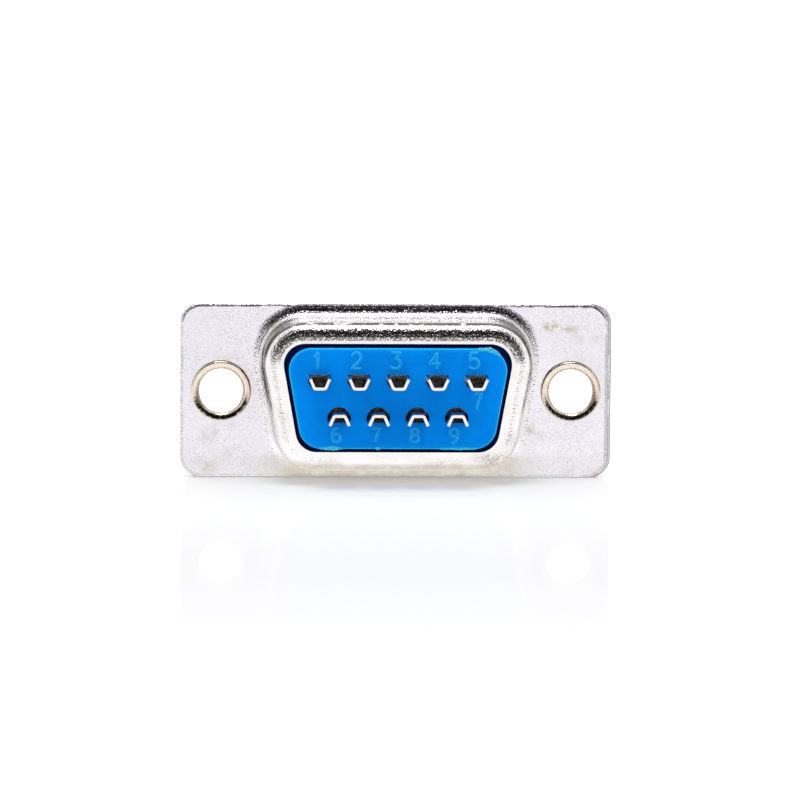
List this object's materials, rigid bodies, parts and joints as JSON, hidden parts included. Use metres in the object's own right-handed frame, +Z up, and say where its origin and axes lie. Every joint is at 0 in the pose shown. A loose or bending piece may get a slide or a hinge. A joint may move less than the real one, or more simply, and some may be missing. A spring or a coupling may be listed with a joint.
{
  "type": "d-sub connector",
  "caption": "Panel-mount D-shaped socket connector with solder cups, drawn metal shells and a blue insulator.",
  "frame": {"origin": "midway between the two mounting holes, on the flat panel face of the mating shell's flange", "axes": "+Y is the mating direction, out of the D-shaped shell; the solder cups point to -Y. +X runs along the flange and is to the right as seen from the solder side. +Z is up, with the wide side of the D on top."},
  "size_m": [0.0308, 0.0134, 0.0126],
  "materials": {
    "shell_steel": "dull tin plating over drawn steel",
    "insulator": "blue moulded plastic, semi-matte",
    "eyelet": "warm tinted plating, bright",
    "contact": "tinned copper alloy"
  },
  "bodies": {
    "root": {"front_shell": "shell_steel", "rear_shell": "shell_steel", "front_insulator": "insulator", "rear_insulator": "insulator", "eyelet_left": "eyelet", "eyelet_right": "eyelet", "contact_1": "contact", "contact_2": "contact", "contact_3": "contact", "contact_4": "contact", "contact_5": "contact", "contact_6": "contact", "contact_7": "contact", "contact_8": "contact", "contact_9": "contact"}
  },
  "joints": []
}
